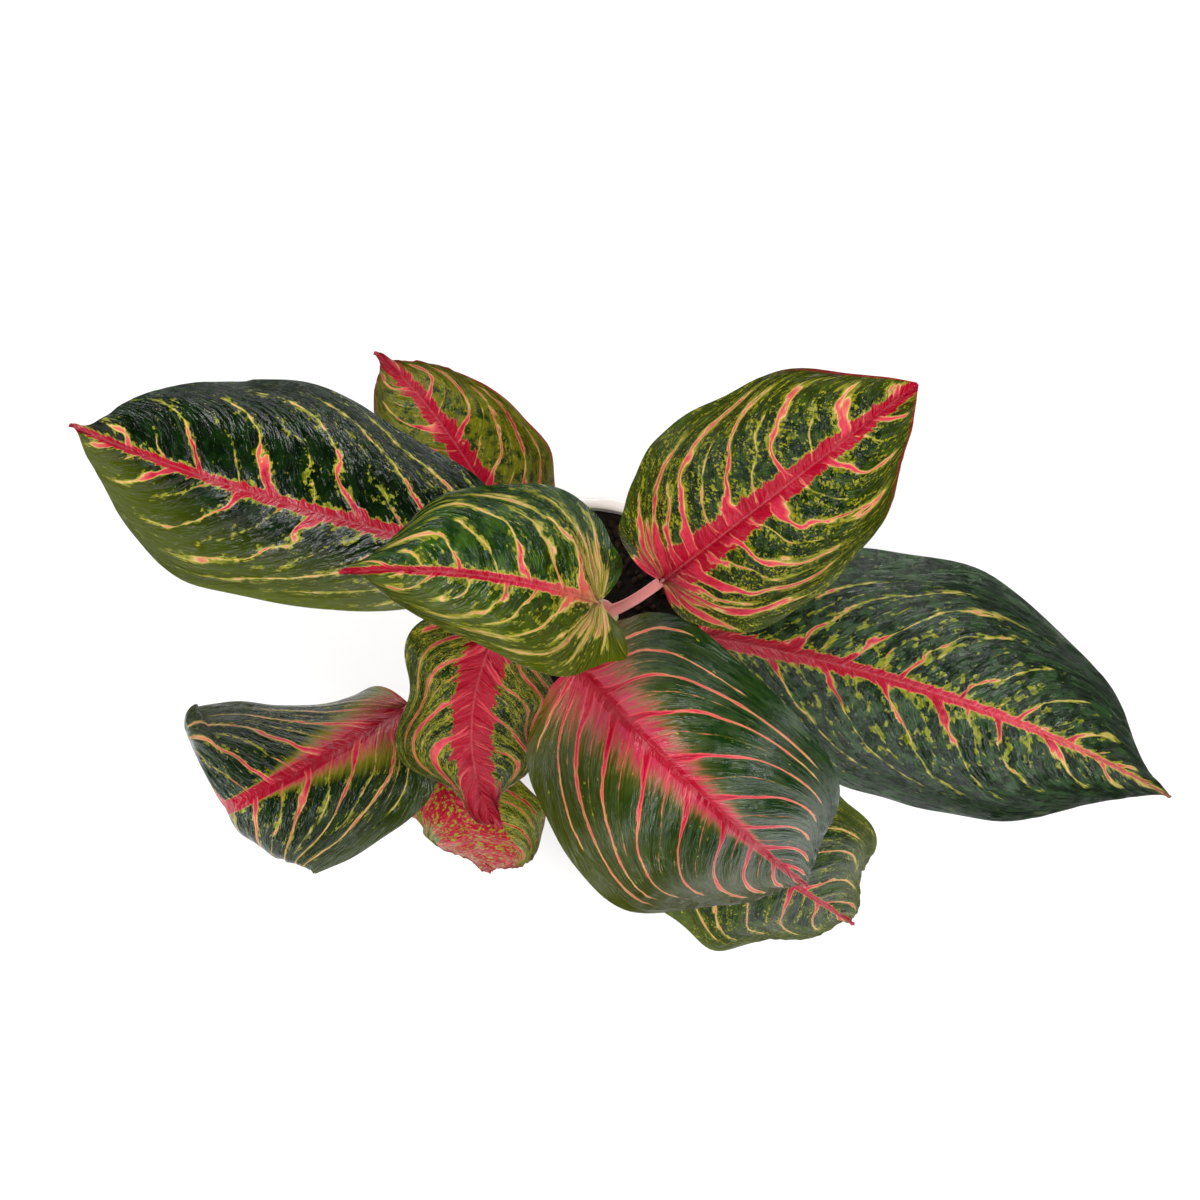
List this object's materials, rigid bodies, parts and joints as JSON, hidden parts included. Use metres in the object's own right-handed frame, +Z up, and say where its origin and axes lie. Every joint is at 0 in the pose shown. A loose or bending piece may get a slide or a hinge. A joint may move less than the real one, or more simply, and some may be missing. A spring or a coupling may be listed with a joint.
{
  "type": "potted aglaonema",
  "caption": "Potted foliage plant with broad pointed leaves, dark green and flecked with yellow, with crimson midribs and pink veins, in a round white glazed pot.",
  "frame": {"origin": "The middle of the pot's flat underside, on the surface that it stands on.", "axes": "+Z is up, +X runs to the right and +Y to the back, as the plant is seen from above with its longest leaves lying left and right."},
  "size_m": [0.4603, 0.263, 0.3554],
  "materials": {
    "glaze": "glossy white glaze with a faint pink warmth, thin over the lip",
    "soil": "nearly black damp peat and bark, crumbly, with a few brown bits",
    "cane": "smooth green cane with paler rings and dry brown sheath scars",
    "leaf": "leathery and softly glossy, dark green flecked with yellow green, crimson midrib, pink to cream side veins, paler and duller below"
  },
  "bodies": {
    "root": {"pot": "glaze", "soil": "soil", "cane_main": "cane", "cane_side": "cane", "leaf_01_left": "leaf", "leaf_02_back_left": "leaf", "leaf_03_top": "leaf", "leaf_04_back_right": "leaf", "leaf_05_right": "leaf", "leaf_06_front_right": "leaf", "leaf_07_low_right": "leaf", "leaf_08_front": "leaf", "leaf_09_low_front": "leaf", "leaf_10_low_left": "leaf"}
  },
  "joints": []
}
